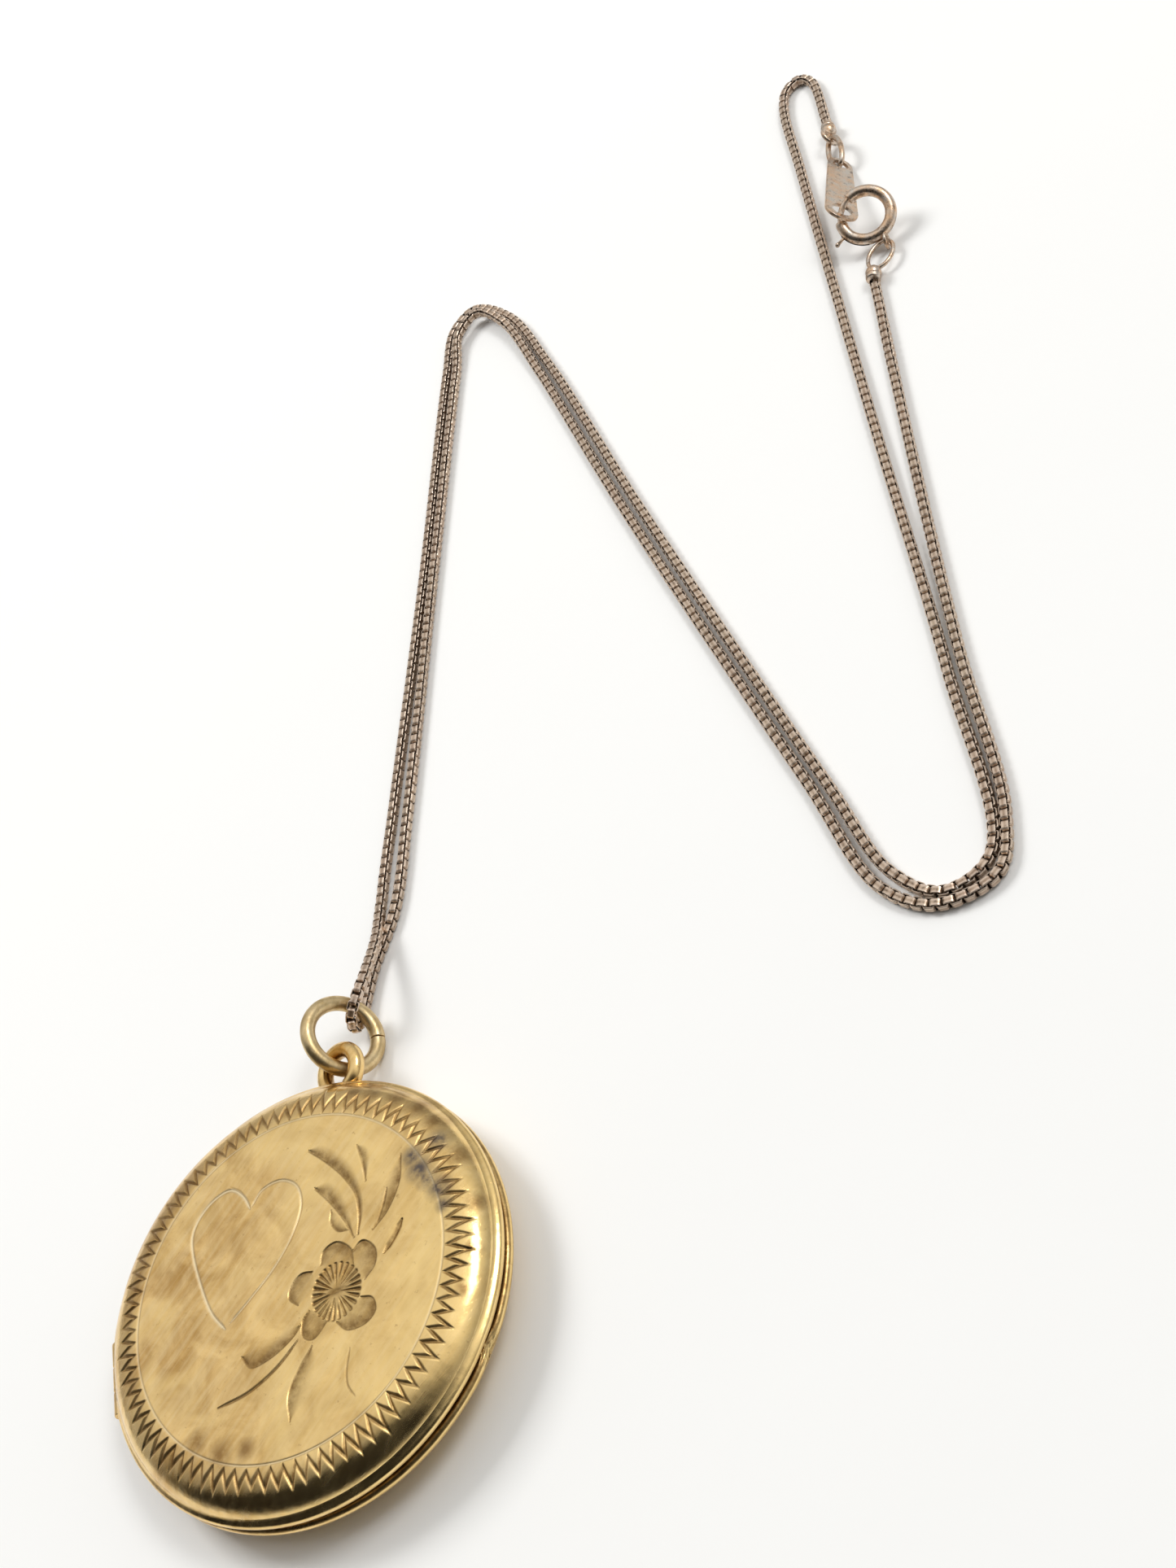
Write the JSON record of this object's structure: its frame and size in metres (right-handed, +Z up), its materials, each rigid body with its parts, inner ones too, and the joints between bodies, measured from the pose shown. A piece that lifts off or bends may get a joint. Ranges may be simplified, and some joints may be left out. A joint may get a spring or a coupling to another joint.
{
  "type": "hinged locket",
  "caption": "Round hinged locket with an engraved cover, inner photo frames, bail and jump ring, on a folded fine box chain with a spring-ring clasp.",
  "frame": {"origin": "centre of the flat under the back cover", "axes": "+Z up through the covers, +Y towards the bail, +X to the right, with the hinge on the left"},
  "size_m": [0.0646, 0.1319, 0.0054],
  "materials": {
    "aged_gold": "worn polished gold fill",
    "pale_brass": "worn polish",
    "rose_silver": "worn rose plate",
    "oxidised": "oxidised rose plate",
    "steel": "drawn wire",
    "clear_film": "clear gloss"
  },
  "bodies": {
    "chain": {"box_chain": "oxidised", "clasp_end_cup": "rose_silver", "tag_end_cup": "rose_silver"},
    "ring": {"jump_ring": "pale_brass"},
    "case_back": {"back_cover": "aged_gold", "back_window": "clear_film", "back_bezel": "aged_gold", "hinge_knuckle_back_a": "aged_gold", "hinge_knuckle_back_b": "aged_gold", "hinge_pin": "steel", "bail_loop": "aged_gold"},
    "case_front": {"front_cover": "aged_gold", "front_window": "clear_film", "front_bezel": "aged_gold", "hinge_knuckle_front": "aged_gold"},
    "spring_ring": {"clasp_tube": "rose_silver", "clasp_eye": "rose_silver", "clasp_spring": "steel"},
    "trigger": {"clasp_trigger": "rose_silver"},
    "tag": {"chain_tag": "rose_silver"},
    "link": {"oval_link": "rose_silver"}
  },
  "joints": [
    {"name": "ring_swing", "type": "hinge", "parent": "chain", "child": "ring", "pos_m": [-0.00064, 0.02226, 0.00201], "axis": [-0.6022, 0.2812, 0.7472], "range_deg": [0, 40]},
    {"name": "case_swing", "type": "hinge", "parent": "ring", "child": "case_back", "pos_m": [-0.0007, 0.01699, 0.00285], "axis": [-0.6058, -0.0205, 0.7953], "range_deg": [0, 50]},
    {"name": "cover_hinge", "type": "hinge", "parent": "case_back", "child": "case_front", "pos_m": [-0.0145, -0.00471, 0.0029], "axis": [0.309, -0.9511, 0], "range_deg": [0, 150]},
    {"name": "clasp_rock", "type": "hinge", "parent": "chain", "child": "spring_ring", "pos_m": [0.03948, 0.08917, 0.00077], "axis": [-0.6703, 0.6033, 0.4321], "range_deg": [-5, 10]},
    {"name": "trigger_slide", "type": "hinge", "parent": "spring_ring", "child": "trigger", "pos_m": [0.03814, 0.09144, 0.0022], "axis": [0.15, -0.4601, 0.8751], "range_deg": [0, 46], "stiffness_Nm_per_rad": 0.002, "springref_deg": -20.05, "deforming": ["clasp_spring"]},
    {"name": "tag_rock", "type": "hinge", "parent": "chain", "child": "tag", "pos_m": [0.0351, 0.10075, 0.00095], "axis": [-0.1249, 0.9682, -0.2166], "range_deg": [-12, 0]},
    {"name": "link_rock", "type": "hinge", "parent": "chain", "child": "link", "pos_m": [0.0346, 0.10289, 0.00094], "axis": [-0.2353, 0.9718, 0.0158], "range_deg": [-12, 12]}
  ]
}
